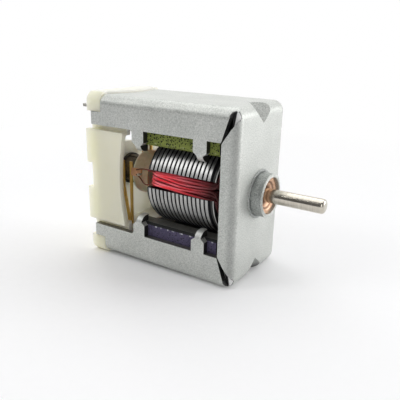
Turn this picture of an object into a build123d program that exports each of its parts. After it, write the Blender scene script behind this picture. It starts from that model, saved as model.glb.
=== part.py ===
from build123d import *
import math
import os

# Small open-frame DC motor, in millimetres.
# +X runs along the shaft towards its tip, +Z is up, and the origin is the shaft axis at the front face.
# Upper and lower, near (-Y) and far (+Y) name the sides.

# Folded steel frame
frame_width = 14.2
frame_height = 24.6
frame_length = 22.85
sheet = 0.9
bend_radius = 1.5
flange_lift = 2.05
return_depth = 2.25
ear_length = 1.95
ear_height = 1.9
tab_width = 2.1
tab_bend = 0.3
tab_tip_round = 0.3
tab_tongue_width = 1.0
tab_shoulder = 0.45
tab_root_round = 0.45
rear_tab_inset = 0.57
front_tab_inset = 2.47
notch_inset = 1.6
notch_depth = 1.4
slit_width = 0.16
slit_hole = 0.58
slit_end_inset = 0.6
slit_end_drop = 1.05
dart_front = 2.5
dart_top = 2.4
dart_half_width = 3.3

# Drawn collar of the front bearing
boss_diameter = 6.15
boss_length = 1.75
boss_wall = 0.5
boss_ring_width = 0.42
boss_ring_depth = 0.12

# Shaft and bearings
shaft_diameter = 2.0
shaft_reach = 9.5
shaft_tip_round = 0.45
shaft_rear_stub = 2.2
bushing_recess = 0.4
bushing_stub = 0.5
bushing_dish = 1.15
bushing_dish_depth = 0.6
rear_bushing_diameter = 4.4
rear_bushing_length = 2.4

# Magnets
magnet_rear_inset = 6.38
magnet_land = 5.8
magnet_edge = 0.6
magnet_land_edge = 0.32
air_gap = 0.4

# Wound rotor
rotor_inset = 0.5
stack_rear_inset = 2.1
lamination_thickness = 0.687
lamination_break_depth = 0.2
lamination_break_width = 0.3
pole_count = 3
pole_width = 2.6
pole_root = 2.2
coil_depth = 2.4
shoe_tip = 0.9
slot_opening = 23
rotor_clock = 20.5
insulator_thickness = 0.5
insulator_inset = 0.25
front_spacer_length = 1.85
front_spacer_diameter = 2.8
washer_thickness = 0.25
washer_diameter = 3.8

# Coils
wire_diameter = 0.3
wire_sides = 6
wire_bend = 0.5
wire_spacing = 0.45
winding_loops = 4
winding_first = 2.9
winding_edge = 0.7
coil_bundle_depth = 1.75
coil_bundle_start = 1.75

# Commutator
commutator_diameter = 4.6
commutator_length = 3.0
commutator_core_diameter = 3.1
commutator_slit = 0.3
commutator_ring_diameter = 5.0
commutator_ring_thickness = 0.4
drum_diameter = 6.8
drum_length = 2.9
neck_diameter = 2.8
riser_angle = 20
riser_thickness = 0.2
riser_length = 1.8

# Brushes and terminals
leaf_width = 2.1
leaf_root_width = 1.1
leaf_prong_width = 0.5
leaf_thickness = 0.2
leaf_drum_gap = 0.85
leaf_fork_start = 2.3
leaf_straight = 4.2
leaf_overrun = 1.8
terminal_thickness = 0.4
terminal_drop = 1.3
terminal_width = 1.6
terminal_inset = 2.1
terminal_reach = 2.4
terminal_hole = 0.8

# Nylon end cap
cap_overhang = 2.75
cap_wall = 1.8
cap_side_wall = 0.8
cap_ledge = 0.4
cap_side_tail = 0.45
cap_side_reach = 6.9
cap_side_gap = 0.75
cap_side_arc_depth = 0.8
cap_shelf_depth = 2.8
cap_shelf_lead = 1.0
cap_lip_proud = 0.35
cap_channel_half_height = 1.95
cap_channel_depth = 0.6
cap_boss_diameter = 6.8
cap_boss_wall = 0.6
cap_window_inset = 2.4
cap_window_drop = 1.1
cap_window_circle = 4.4

# Clearances
running_clearance = 0.03
press_clearance = 0.005
seat_clearance = 0.05
brush_clearance = 0.07
end_play = 0.05
tab_rotor_clearance = 0.5
coil_clearance = 0.06
wire_clearance = 0.03

# Places worked out from the sizes
half_width = frame_width / 2
half_height = frame_height / 2
magnet_top = half_height - sheet
flange_edge = magnet_land + flange_lift
ear_top = flange_edge + ear_height
boss_radius = boss_diameter / 2
bushing_radius = boss_radius - boss_wall
shaft_radius = shaft_diameter / 2
bore_radius = shaft_radius + press_clearance
rotor_radius = half_width - rotor_inset
shoe_underside = pole_root + coil_depth
bushing_inner = -(sheet + bushing_stub)
front_washer_rear = bushing_inner - end_play - washer_thickness
front_insulator_front = front_washer_rear - front_spacer_length
stack_front = front_insulator_front - insulator_thickness
magnet_rear = magnet_rear_inset - frame_length
lamination_count = round((stack_front - magnet_rear - stack_rear_inset) / lamination_thickness)
stack_rear = stack_front - lamination_count * lamination_thickness
rear_insulator_rear = stack_rear - insulator_thickness
cap_rear = -(frame_length + cap_overhang)
cap_inner = cap_rear + cap_wall
ring_rear = cap_inner + end_play + washer_thickness
commutator_rear = ring_rear + commutator_ring_thickness
drum_rear = commutator_rear + commutator_length
drum_front = drum_rear + drum_length
commutator_radius = commutator_diameter / 2
drum_radius = drum_diameter / 2
riser_top = drum_radius + press_clearance + riser_thickness
leaf_front = drum_rear - leaf_drum_gap
leaf_rear = leaf_front - leaf_width
leaf_inner = commutator_radius + brush_clearance
leaf_outer = leaf_inner + leaf_thickness
terminal_height = magnet_top - terminal_drop
terminal_side = half_width - terminal_inset
leaf_fork = terminal_height - leaf_fork_start
cap_side_half_height = flange_edge - cap_side_gap
cap_shelf = magnet_top - cap_shelf_depth
cap_window_half_width = half_width - cap_window_inset
cap_window_top = cap_shelf - cap_window_drop
shelf_front = leaf_front + cap_shelf_lead
beyond = frame_height


def bar(x0, x1, y0, y1, z0, z1):
    """A box between two corners."""
    return Pos((x0 + x1) / 2, (y0 + y1) / 2, (z0 + z1) / 2) * Box(x1 - x0, y1 - y0, z1 - z0)


def ring(x0, x1, outer, inner=0):
    """A disc or tube round the shaft axis."""
    face = Circle(outer) - Circle(inner) if inner else Circle(outer)
    return extrude(Plane.YZ.offset(x0) * face, x1 - x0)


def outline(*points):
    """A flat face with straight sides."""
    return make_face(Polyline(*points, close=True))


def along_shaft(face, x0, x1):
    """A face drawn in Y and Z, drawn out from x0 to x1."""
    return extrude(Plane.YZ.offset(x0) * face, x1 - x0)


def polar(radius, degrees):
    """A point in Y and Z at an angle from +Y towards +Z."""
    return (radius * math.cos(math.radians(degrees)), radius * math.sin(math.radians(degrees)))


def both_sides(shape):
    """A shape and its mirror image across the middle plane."""
    return shape + mirror(shape, Plane.XZ)


def top_and_bottom(shape):
    """A shape and its mirror image below the shaft."""
    return shape + mirror(shape, Plane.XY)


def rounded_block(x0, x1, side, height, radius):
    """A block with rounded long edges and a rounded front, side and height being half sizes."""
    block = bar(x0, x1, -side, side, -height, height)
    front = block.faces().sort_by(Axis.X)[-1].edges()
    return fillet(block.edges().filter_by(Axis.X) + front, radius)


# The V dart pressed into the upper front bend
dart_depth = dart_front * dart_top / math.hypot(dart_front, dart_top)
dart_half_angle = math.atan(dart_half_width / dart_depth)
dart_inset = sheet / math.sin(dart_half_angle)
dart_inner_reach = dart_top + (dart_inset * math.hypot(dart_front, dart_top) - sheet * dart_top) / dart_front


def dart_groove(inset):
    """A V prism along the dart's valley line, moved inwards by inset."""
    front_end = Vector(0, 0, half_height - dart_front)
    top_end = Vector(-dart_top, 0, half_height)
    along = (top_end - front_end).normalized()
    outward = Vector(along.Z, 0, -along.X)
    valley = Plane((front_end + top_end) / 2 - outward * inset, x_dir=(0, 1, 0), z_dir=along)
    rise = 2 * dart_depth + inset
    spread = rise * math.tan(dart_half_angle)
    return extrude(valley * outline((0, 0), (spread, -rise), (-spread, -rise)), frame_height / 4, both=True)


# Place of the magnets, behind the inside of the darts
magnet_front = -(dart_inner_reach + seat_clearance)
tab_top = magnet_land - seat_clearance
tab_bottom = tab_top - sheet
tab_tip = math.sqrt((rotor_radius + tab_rotor_clearance) ** 2 - tab_bottom**2)
rear_tab = magnet_rear + rear_tab_inset
front_tab = magnet_front - front_tab_inset
notch_half_width = half_width - notch_inset
notch_radius = (notch_half_width**2 + notch_depth**2) / (2 * notch_depth)
notch_centre = notch_depth - frame_length - notch_radius


def magnet_tab(centre):
    """A tab of the upper near flange, curled inwards under the magnet's land."""
    inner_side = half_width - sheet
    profile = outline(
        (-half_width, flange_edge),
        (-half_width, tab_bottom),
        (-tab_tip, tab_bottom),
        (-tab_tip, tab_top),
        (-inner_side, tab_top),
        (-inner_side, flange_edge),
    )
    corners = profile.vertices()
    profile = fillet(corners.sort_by_distance((-half_width, tab_bottom, 0))[0], tab_bend + sheet)
    profile = fillet(profile.vertices().sort_by_distance((-inner_side, tab_top, 0))[0], tab_bend)
    tab = along_shaft(profile, centre - tab_width / 2, centre + tab_width / 2)
    for side in (-1, 1):
        edge = centre + side * tab_width / 2
        tongue = centre + side * tab_tongue_width / 2
        waste = outline(
            (edge, tab_top + tab_shoulder),
            (tongue, tab_top),
            (tongue, tab_bottom - sheet),
            (edge, tab_bottom - sheet),
        )
        tab -= extrude(Plane.XZ * waste, beyond)
    return fillet(tab.edges().filter_by(Axis.Z).sort_by(Axis.Y)[-2:], tab_tip_round)


def corner_slit():
    """The mitre between the upper near flange and the front plate's own flange, flaring to its relief hole."""
    start = Vector(-return_depth, flange_edge)
    end = Vector(-slit_end_inset, half_height - slit_end_drop)
    along = (end - start).normalized()
    across = Vector(-along.Y, along.X)
    lead = start - along * slit_hole
    narrow = across * (slit_width / 2)
    wide = across * slit_hole
    face = outline(lead + narrow, start + narrow, end + wide, end - wide, start - narrow, lead - narrow)
    face += Pos(end.X, end.Y) * Circle(slit_hole)
    return extrude(Plane.XZ.offset(half_width - sheet - seat_clearance) * face, 2 * bend_radius)


def make_frame():
    """The folded frame: a rounded shell opened at the sides, with tabs, slits, darts and the drawn collar."""
    rear = -(frame_length + ear_length)
    envelope = rounded_block(rear, 0, half_width, half_height, bend_radius)
    hollow = rounded_block(rear - sheet, -sheet, half_width - sheet, magnet_top, bend_radius - sheet)
    frame = envelope - hollow
    frame += top_and_bottom(dart_groove(dart_inset) & envelope)
    frame -= top_and_bottom(dart_groove(0))
    frame -= bar(rear - sheet, -return_depth, -beyond, beyond, -flange_edge, flange_edge)
    frame -= top_and_bottom(bar(rear - sheet, -frame_length, -beyond, beyond, ear_top, beyond))
    notch = Pos(notch_centre, 0, (ear_top + beyond) / 2) * Cylinder(notch_radius, beyond - ear_top)
    frame -= top_and_bottom(notch)
    frame -= both_sides(top_and_bottom(corner_slit()))
    for centre in (rear_tab, front_tab):
        frame += both_sides(top_and_bottom(magnet_tab(centre)))
    tab_side = rear_tab - tab_width / 2
    roots = [
        edge
        for edge in frame.edges().filter_by(Axis.Y)
        if abs(abs(edge.center().Z) - flange_edge) < press_clearance
        and abs(edge.center().X - tab_side) < press_clearance
    ]
    frame = fillet(roots, tab_root_round)
    frame -= ring(-boss_ring_depth, boss_ring_depth, boss_radius + boss_ring_width)
    frame -= ring(-2 * sheet, sheet, bushing_radius)
    return frame + ring(-sheet, boss_length, boss_radius, bushing_radius)


def make_magnet():
    """The upper magnet: a block with a bored inner face and broken edges."""
    side = half_width - sheet - seat_clearance
    block = bar(magnet_rear, magnet_front, -side, side, magnet_land, magnet_top)
    block = chamfer(block.edges().filter_by(Axis.X).group_by(Axis.Z)[-1], magnet_edge)
    block = chamfer(block.edges().filter_by(Axis.X).group_by(Axis.Z)[0], magnet_land_edge)
    return block - ring(magnet_rear, magnet_front, rotor_radius + air_gap)


def make_front_bushing():
    """The bronze bearing in the collar, with a dished outer face."""
    front = boss_length - bushing_recess
    bushing = ring(bushing_inner, front, bushing_radius - press_clearance, shaft_radius + running_clearance)
    face = bushing.faces().sort_by(Axis.X)[-1]
    mouth = face.edges().sort_by(SortBy.RADIUS)[0]
    return chamfer(mouth, bushing_dish, bushing_dish_depth, reference=face)


def make_rear_bushing():
    """The bearing pressed into the end cap."""
    rear = cap_inner - rear_bushing_length
    return ring(rear, cap_inner, rear_bushing_diameter / 2, shaft_radius + running_clearance)


def make_shaft():
    """The shaft, rounded at its tip."""
    shaft = ring(cap_inner - shaft_rear_stub, shaft_reach, shaft_radius)
    return fillet(shaft.edges().sort_by(Axis.X)[-1], shaft_tip_round)


# Directions of the slot beside a pole that points along +Z: along the slot, and from it towards the pole
slot_half_angle = 180 / pole_count
slot_along = Vector(math.sin(math.radians(slot_half_angle)), math.cos(math.radians(slot_half_angle)))
slot_inward = Vector(-slot_along.Y, slot_along.X)
shoe_half_angle = slot_half_angle - slot_opening / 2


def turned(point, pole):
    """A point of the upright pole, turned to another pole."""
    return Vector(*point).rotate(Axis.Z, pole * 360 / pole_count)


def pole_outline(radius):
    """The three-pole outline with its shaft hole."""
    parts = []
    for pole in range(pole_count):
        tip = polar(radius, 90 - shoe_half_angle)
        top = polar(radius, 90)
        inner_tip = polar(rotor_radius - shoe_tip, 90 - shoe_half_angle)
        right = [tip, inner_tip, (pole_width / 2, shoe_underside), (pole_width / 2, pole_root)]
        left = [(-y, z) for y, z in right]
        parts.append(ThreePointArc(turned(tip, pole), turned(top, pole), turned(left[0], pole)))
        root = turned((pole_width / 2, pole_root), pole + 1)
        parts.append(Polyline(*[turned(point, pole) for point in left], root))
        parts.append(Polyline(*[turned(point, pole + 1) for point in reversed(right)]))
    return make_face(parts) - Circle(bore_radius)


def make_lamination(index):
    """One punched plate: a bright land, then the break where the punch tore through."""
    front = stack_front - index * lamination_thickness
    plate = along_shaft(pole_outline(rotor_radius), front - lamination_thickness, front)
    face = plate.faces().sort_by(Axis.X)[-1]
    rims = [e for e in face.edges() if e.geom_type == GeomType.CIRCLE and e.radius > rotor_radius / 2]
    plate = chamfer(rims, lamination_break_depth, lamination_break_width, reference=face)
    return Rot(X=rotor_clock) * plate


def make_insulator(front):
    """A fibre end plate of the stack, a little smaller than the steel."""
    face = pole_outline(rotor_radius - insulator_inset)
    return Rot(X=rotor_clock) * along_shaft(face, front - insulator_thickness, front)


# Outer layer of turns beside the pole: distance from the middle of the slot, and level of each turn
wire_radius = wire_diameter / 2
wire_offset = coil_clearance * 2 + wire_radius
bundle_offset = wire_offset + wire_radius + wire_clearance
winding_last = rotor_radius - winding_edge
winding_pitch = (winding_last - winding_first) / (winding_loops - 1)
level_rise = winding_pitch * slot_along.Y
turn_step = math.sqrt(max((wire_diameter + wire_spacing) ** 2 - level_rise**2, wire_diameter**2))
first_turn = wire_bend + wire_clearance


def level(index, side):
    """Place in Y and Z of one turn, on the right (1) or left (-1) of the upright pole."""
    point = slot_along * (winding_first + index * winding_pitch) + slot_inward * wire_offset
    return Vector(0, side * point.X, point.Y)


def turn_reach(index):
    """How far the end of a turn stands out from the insulator."""
    return first_turn + index * turn_step


def end_turn(start, goal, x, heading):
    """Quarter arc, straight run across and quarter arc, from one slot to the next at the end of the stack."""
    ahead = Vector(heading, 0, 0)
    across = (goal - start).normalized()
    straight = Vector(x - heading * wire_bend, 0, 0)
    first = straight + start
    second = first + (ahead + across) * wire_bend
    fourth = straight + goal
    third = fourth + (ahead - across) * wire_bend
    arcs = [
        TangentArc(first, second, tangent=ahead),
        Line(second, third),
        TangentArc(third, fourth, tangent=across),
    ]
    return first, arcs, fourth


def winding_path():
    """The wire of the upright pole: round it, one level further out each time, then down to a riser."""
    point = Vector(rear_insulator_rear + wire_bend, 0, 0) + level(0, 1)
    start = point
    path = []
    for index in range(winding_loops):
        front = front_insulator_front + turn_reach(index)
        first, arcs, last = end_turn(level(index, 1), level(index, -1), front, 1)
        path += [Line(point, first)] + arcs
        point = last
        if index < winding_loops - 1:
            rear = rear_insulator_rear - turn_reach(index)
            first, arcs, last = end_turn(level(index, -1), level(index + 1, 1), rear, -1)
            path += [Line(point, first)] + arcs
            point = last
    inward = Vector(0, slot_along.X, -slot_along.Y)
    foot_x = drum_rear + riser_length - wire_diameter
    bend_start = Vector(foot_x + wire_bend, 0, 0) + level(winding_loops - 1, -1)
    bend_end = bend_start + (Vector(-1, 0, 0) + inward) * wire_bend
    drop = winding_last - wire_bend - riser_top - wire_clearance
    path.append(Line(point, bend_start))
    path.append(TangentArc(bend_start, bend_end, tangent=Vector(-1, 0, 0)))
    path.append(Line(bend_end, bend_end + inward * drop))
    return start, Wire(path)


def least_gap(path):
    """The least gap between stretches of the wire that are not neighbours, measured on points."""
    count = int(path.length / wire_radius)
    points = [path.position_at(i / count) for i in range(count + 1)]
    apart = int(math.pi * wire_bend / wire_radius)
    pairs = ((a, b) for a in range(count) for b in range(a + apart, count + 1))
    return min((points[a] - points[b]).length for a, b in pairs) - wire_diameter


def make_winding():
    """The outer layer of one coil, one unbroken wire of few sides."""
    start, path = winding_path()
    section = Plane(start, z_dir=(1, 0, 0)) * RegularPolygon(wire_radius, wire_sides)
    winding = sweep(section, path)
    print(f"winding: least gap to itself {least_gap(path):.3f} mm")
    print(f"winding: volume {winding.volume:.4f}, section by length {section.area * path.length:.4f}")
    return winding


def slot_point(distance, offset):
    """A point beside the slot's middle plane, in Y and Z."""
    point = slot_along * distance + slot_inward * offset
    return (point.X, point.Y)


def make_coil_core():
    """The inner bundle of the upright pole's coil: two slot sides, and a wedge across each end."""
    inner_side = pole_width / 2 + coil_clearance
    root_drop = coil_clearance / slot_along.Y
    outer = shoe_underside - coil_clearance
    root_middle = pole_width / 2 * slot_along.X + pole_root * slot_along.Y
    shoe_corner = polar(rotor_radius - shoe_tip - coil_clearance * 2, 90 - shoe_half_angle)
    side = outline(
        (inner_side, pole_root + root_drop),
        slot_point(root_middle + coil_clearance, bundle_offset),
        slot_point(winding_last - wire_diameter, bundle_offset),
        shoe_corner,
        (inner_side, outer - coil_clearance),
    )
    core = both_sides(along_shaft(side, rear_insulator_rear, front_insulator_front))
    front_end = coil_end(first_turn, coil_bundle_depth)
    rear_end = mirror(coil_end(first_turn - turn_step, coil_bundle_depth - turn_step), Plane.YZ)
    return core + Pos(X=front_insulator_front) * front_end + Pos(X=rear_insulator_rear) * rear_end


def coil_end(reach, depth):
    """The bundle across the pole's end, leaning back under turns of which the first stands at reach."""
    end_offset = bundle_offset + wire_bend
    start = (coil_bundle_start - end_offset * slot_inward.Y) / slot_along.Y
    inner = slot_point(start, end_offset)
    far = slot_point(2 * rotor_radius, end_offset)
    end = outline(inner, far, (-far[0], far[1]), (-inner[0], inner[1]))
    end &= Circle(winding_last - wire_diameter)
    lean = turn_step / level_rise
    room = (wire_radius + wire_clearance) * math.hypot(lean, 1)
    reach_at_start = reach - room + lean * (coil_bundle_start - level(0, 1).Z)
    low = coil_bundle_start + max(0, wire_radius - reach_at_start) / lean
    wedge = outline(
        (0, low),
        (reach_at_start + lean * (low - coil_bundle_start), low),
        (depth, coil_bundle_start + (depth - reach_at_start) / lean),
        (depth, rotor_radius),
        (0, rotor_radius),
    )
    return along_shaft(end, 0, depth) & extrude(Plane.XZ * wedge, rotor_radius, both=True)


def make_commutator_hub():
    """The moulded sleeve: neck, drum with its raised rim, and the barrel under the segments."""
    hub = ring(drum_front, rear_insulator_rear, neck_diameter / 2, bore_radius)
    hub += ring(drum_rear, drum_front, drum_radius, bore_radius)
    return hub + ring(commutator_rear, drum_rear, commutator_core_diameter / 2, bore_radius)


def sector(inner, outer, half_angle):
    """A stretch of a ring, centred on the slot to the right of the upright pole."""
    points = [polar(outer, half_angle), polar(outer, 0), polar(outer, -half_angle)]
    face = make_face(
        [
            ThreePointArc(*points),
            Line(points[2], polar(inner, -half_angle)),
            ThreePointArc(polar(inner, -half_angle), polar(inner, 0), polar(inner, half_angle)),
            Line(polar(inner, half_angle), points[0]),
        ]
    )
    return Rot(Z=90 - slot_half_angle) * face


def make_segment():
    """A copper segment with its riser folded over the drum."""
    inner = commutator_core_diameter / 2 + press_clearance
    half_angle = slot_half_angle - math.degrees(commutator_slit / commutator_diameter)
    segment = along_shaft(sector(inner, commutator_radius, half_angle), commutator_rear, drum_rear)
    upright = sector(commutator_radius - riser_thickness, riser_top, riser_angle / 2)
    folded = sector(drum_radius + press_clearance, riser_top, riser_angle / 2)
    segment += along_shaft(upright, drum_rear - riser_thickness, drum_rear)
    return segment + along_shaft(folded, drum_rear - riser_thickness, drum_rear + riser_length)


def make_far_leaf():
    """The forked spring leaf that hangs from the upper terminal beside the commutator, its prongs spread."""
    root = leaf_front - leaf_root_width
    front_prong = leaf_front - leaf_prong_width
    rear_prong = leaf_rear + leaf_prong_width
    spread = leaf_straight - leaf_overrun
    leaf = outline(
        (leaf_front, terminal_height),
        (leaf_front, -leaf_overrun),
        (front_prong, -leaf_overrun),
        (front_prong, leaf_fork),
        (rear_prong, spread),
        (rear_prong, -leaf_overrun),
        (leaf_rear, -leaf_overrun),
        (leaf_rear, spread),
        (root, leaf_fork),
        (root, terminal_height),
    )
    return extrude(Plane.XZ.offset(-leaf_outer) * leaf, leaf_thickness)


def terminal_shape(grow):
    """The upper terminal, grown all round: a strip above the leaf and a solder tag out of the rear."""
    low = terminal_height - grow
    high = terminal_height + terminal_thickness + grow
    tag = (-terminal_side - terminal_width / 2 - grow, -terminal_side + terminal_width / 2 + grow)
    strip = bar(leaf_rear - grow, leaf_front + grow, tag[0], leaf_outer + leaf_thickness + grow, low, high)
    return strip + bar(cap_rear - terminal_reach - grow, leaf_front + grow, *tag, low, high)


def make_upper_terminal():
    """The upper terminal with the hole for its lead."""
    hole_x = cap_rear - terminal_reach + terminal_width / 2
    hole = Pos(hole_x, -terminal_side, terminal_height) * Cylinder(terminal_hole / 2, beyond)
    terminal = terminal_shape(0)
    corners = terminal.edges().filter_by(Axis.Z).sort_by(Axis.X)[:2]
    return fillet(corners, terminal_width / 4) - hole


def terminal_slot():
    """The room that the end cap leaves for the upper terminal and leaf, open towards the rotor."""
    low = terminal_height - seat_clearance
    high = terminal_height + terminal_thickness + seat_clearance
    tag_side = -terminal_side - terminal_width / 2 - seat_clearance
    strip_side = leaf_outer + leaf_thickness + seat_clearance
    slot = terminal_shape(seat_clearance)
    slot += bar(leaf_rear - seat_clearance, shelf_front + sheet, tag_side, strip_side, low, high)
    leaf_sides = (leaf_inner - seat_clearance, leaf_outer + seat_clearance)
    return slot + bar(leaf_rear - seat_clearance, shelf_front + sheet, *leaf_sides, 0, high)


def make_end_cap():
    """The nylon end cap: rear wall, shelves in the frame, lips behind it, side walls and the bearing boss."""
    inner_side = half_width - sheet - seat_clearance
    inner_top = magnet_top - seat_clearance
    lip_front = -frame_length - seat_clearance
    shelf = bar(cap_rear, shelf_front, -inner_side, inner_side, cap_shelf, inner_top)
    shelf = chamfer(shelf.edges().filter_by(Axis.X).group_by(Axis.Z)[-1], bend_radius - sheet)
    lip_top = half_height + cap_lip_proud
    lip = bar(cap_rear, lip_front, -half_width, half_width, ear_top + seat_clearance, lip_top)
    lip_round = min(bend_radius, lip_top - ear_top - 2 * seat_clearance)
    lip = fillet(lip.edges().filter_by(Axis.X).group_by(Axis.Z)[-1], lip_round)
    tongue_height = lip_top - inner_top
    tongue = Pos(notch_centre, 0, lip_top - tongue_height / 2) * Cylinder(
        notch_radius - seat_clearance, tongue_height
    )
    tongue &= bar(lip_front, 0, -beyond, beyond, 0, beyond)
    cap = top_and_bottom(shelf + lip + tongue)
    cap += bar(cap_rear, cap_inner, -inner_side, inner_side, -cap_shelf, cap_shelf)
    outer_side = half_width - seat_clearance
    half = cap_side_half_height
    cap += bar(cap_rear, cap_inner, -outer_side, outer_side, -half, half)
    cap += both_sides(make_cap_side())
    channel = cap_channel_half_height
    cap -= bar(cap_rear - beyond, cap_rear + cap_channel_depth, -beyond, beyond, -channel, channel)
    window_side = cap_window_half_width
    window = bar(cap_rear, cap_inner, -window_side, window_side, channel, cap_window_top)
    cap -= window - ring(cap_rear, cap_inner, cap_window_circle)
    bearing_rear = cap_inner - rear_bushing_length - press_clearance
    cap += ring(bearing_rear - cap_boss_wall, cap_inner, cap_boss_diameter / 2)
    cap -= ring(bearing_rear, cap_inner, rear_bushing_diameter / 2 + press_clearance)
    slot = terminal_slot()
    return cap - slot - Rot(X=180) * slot


def make_cap_side():
    """The near side wall between the flanges and its ledges behind them, its free edge hollowed in an arc."""
    edge = cap_rear + cap_side_reach
    half = cap_side_half_height
    side = half_width - seat_clearance
    back = side - sheet
    wall = bar(cap_rear - cap_side_tail, edge, -side, cap_side_wall - side, -half, half)
    ledge = bar(cap_rear, edge, -side, cap_side_wall - back, half - cap_ledge, half)
    ledge += bar(cap_rear, edge, -back, cap_side_wall - back, half - cap_ledge, cap_shelf + cap_side_wall)
    wall += top_and_bottom(ledge)
    radius = (half**2 + cap_side_arc_depth**2) / (2 * cap_side_arc_depth)
    centre = edge - cap_side_arc_depth + radius
    wall -= Pos(centre, -side, 0) * Rot(X=90) * Cylinder(radius, half_width)
    return wall


def make_parts():
    """Every piece by its name."""
    upper_magnet = make_magnet()
    far_leaf = make_far_leaf()
    upper_terminal = make_upper_terminal()
    parts = {
        "frame": make_frame(),
        "upper_magnet": upper_magnet,
        "lower_magnet": mirror(upper_magnet, Plane.XY),
        "front_bushing": make_front_bushing(),
        "rear_bushing": make_rear_bushing(),
        "end_cap": make_end_cap(),
        "far_brush_leaf": far_leaf,
        "near_brush_leaf": Rot(X=180) * far_leaf,
        "upper_terminal": upper_terminal,
        "lower_terminal": Rot(X=180) * upper_terminal,
        "shaft": make_shaft(),
        "front_insulator": make_insulator(front_insulator_front),
        "rear_insulator": make_insulator(stack_rear),
        "front_spacer": ring(
            front_washer_rear - front_spacer_length, front_washer_rear, front_spacer_diameter / 2, bore_radius
        ),
        "front_washer": ring(
            front_washer_rear, bushing_inner - end_play, washer_diameter / 2, bore_radius
        ),
        "rear_washer": ring(cap_inner + end_play, ring_rear, washer_diameter / 2, bore_radius),
        "commutator_hub": make_commutator_hub(),
        "commutator_ring": ring(ring_rear, commutator_rear, commutator_ring_diameter / 2, bore_radius),
    }
    for index in range(lamination_count):
        parts[f"lamination_{index + 1:02d}"] = make_lamination(index)
    winding = make_winding()
    core = make_coil_core()
    segment = make_segment()
    for pole in range(pole_count):
        turn = Rot(X=rotor_clock + pole * 360 / pole_count)
        parts[f"coil_core_{pole + 1}"] = turn * core
        parts[f"winding_{pole + 1}"] = turn * winding
        parts[f"commutator_segment_{pole + 1}"] = turn * segment
    return parts


os.makedirs("parts", exist_ok=True)
for name, shape in make_parts().items():
    export_step(shape, f"parts/{name}.step")
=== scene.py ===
import math
import random
import bpy
from mathutils import Matrix, Vector


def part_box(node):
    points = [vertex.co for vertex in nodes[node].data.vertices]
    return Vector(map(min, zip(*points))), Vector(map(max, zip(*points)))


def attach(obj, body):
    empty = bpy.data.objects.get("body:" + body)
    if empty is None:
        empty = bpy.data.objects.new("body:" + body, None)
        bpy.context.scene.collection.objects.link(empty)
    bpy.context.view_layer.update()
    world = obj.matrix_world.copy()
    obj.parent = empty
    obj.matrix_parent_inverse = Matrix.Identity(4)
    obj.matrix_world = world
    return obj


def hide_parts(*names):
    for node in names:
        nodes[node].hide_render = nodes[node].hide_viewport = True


# Open-frame motor: finishes for the CAD pieces, wound coils with leads and solder, and the collar's trim.
# Lengths are written in millimetres and multiplied by mm.
# +X is the shaft's way out, x = 0 is the front plate's face, and the open side faces -Y.
mm = 0.001

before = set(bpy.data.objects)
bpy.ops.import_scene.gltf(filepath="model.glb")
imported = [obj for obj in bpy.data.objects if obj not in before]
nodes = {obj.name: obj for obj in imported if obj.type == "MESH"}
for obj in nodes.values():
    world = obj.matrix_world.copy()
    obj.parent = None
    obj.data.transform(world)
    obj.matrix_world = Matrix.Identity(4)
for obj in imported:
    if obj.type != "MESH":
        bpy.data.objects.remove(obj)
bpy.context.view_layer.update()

# Places read from the frame
frame_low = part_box("frame")[0]
cap_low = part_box("end_cap")[0]
stack_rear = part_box("rear_insulator")[0].x
stack_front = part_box("front_insulator")[1].x
rotor_radius = max(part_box("lamination_01")[1])

# The rotor's poles and slots, as the laminations are punched
pole_count = 3
rotor_clock = math.radians(20.5)
slot_half_angle = math.pi / pole_count
pole_half_width = 1.3 * mm
shoe_underside = 4.6 * mm
shoe_tip_radius = 5.7 * mm
shoe_half_angle = math.radians(48.5)


# Node helpers
def add(tree, kind, **settings):
    """A node of this kind, with its settings."""
    node = tree.nodes.new(kind)
    for name, value in settings.items():
        setattr(node, name, value)
    return node


def link(tree, source, target):
    """Joins an output to an input."""
    tree.links.new(source, target)


def socket_name(label):
    """A socket's own name from a plain one, as Base Color from base_color."""
    return label.replace("_", " ").title().replace("Ior", "IOR")


def feed(tree, shader, **outputs):
    """Joins outputs to a shader's inputs by their plain names."""
    for label, output in outputs.items():
        link(tree, output, shader.inputs[socket_name(label)])


def object_place(tree, stretch=(1, 1, 1)):
    """Object coordinates, stretched along each axis."""
    place = add(tree, "ShaderNodeTexCoord")
    mapping = add(tree, "ShaderNodeMapping")
    mapping.inputs["Scale"].default_value = stretch
    link(tree, place.outputs["Object"], mapping.inputs["Vector"])
    return mapping.outputs["Vector"]


def axes(tree, kind):
    """X, Y and Z of the place (Object) or of the way the surface faces (Normal)."""
    parts = add(tree, "ShaderNodeSeparateXYZ")
    link(tree, add(tree, "ShaderNodeTexCoord").outputs[kind], parts.inputs[0])
    return [parts.outputs[name] for name in "XYZ"]


def noise(tree, vector, scale, detail=2.0, roughness=0.5):
    """A noise texture's value."""
    node = add(tree, "ShaderNodeTexNoise")
    node.inputs["Detail"].default_value = detail
    node.inputs["Roughness"].default_value = roughness
    if isinstance(scale, (int, float)):
        node.inputs["Scale"].default_value = scale
    else:
        link(tree, scale, node.inputs["Scale"])
    link(tree, vector, node.inputs["Vector"])
    return node.outputs["Fac"]


def calc(tree, operation, first, second=None):
    """Arithmetic on values or outputs."""
    node = add(tree, "ShaderNodeMath", operation=operation)
    for socket, value in zip(node.inputs, (first, second)):
        if value is None:
            continue
        if isinstance(value, (int, float)):
            socket.default_value = value
        else:
            link(tree, value, socket)
    return node.outputs[0]


def size_of(tree, value):
    """A value without its sign."""
    return calc(tree, "ABSOLUTE", value)


def times(tree, *values):
    """Masks multiplied together."""
    product = values[0]
    for value in values[1:]:
        product = calc(tree, "MULTIPLY", product, value)
    return product


def hypotenuse(tree, first, second):
    """The distance made by two distances at right angles."""
    squares = [calc(tree, "POWER", value, 2) for value in (first, second)]
    return calc(tree, "SQRT", calc(tree, "ADD", *squares))


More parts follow.
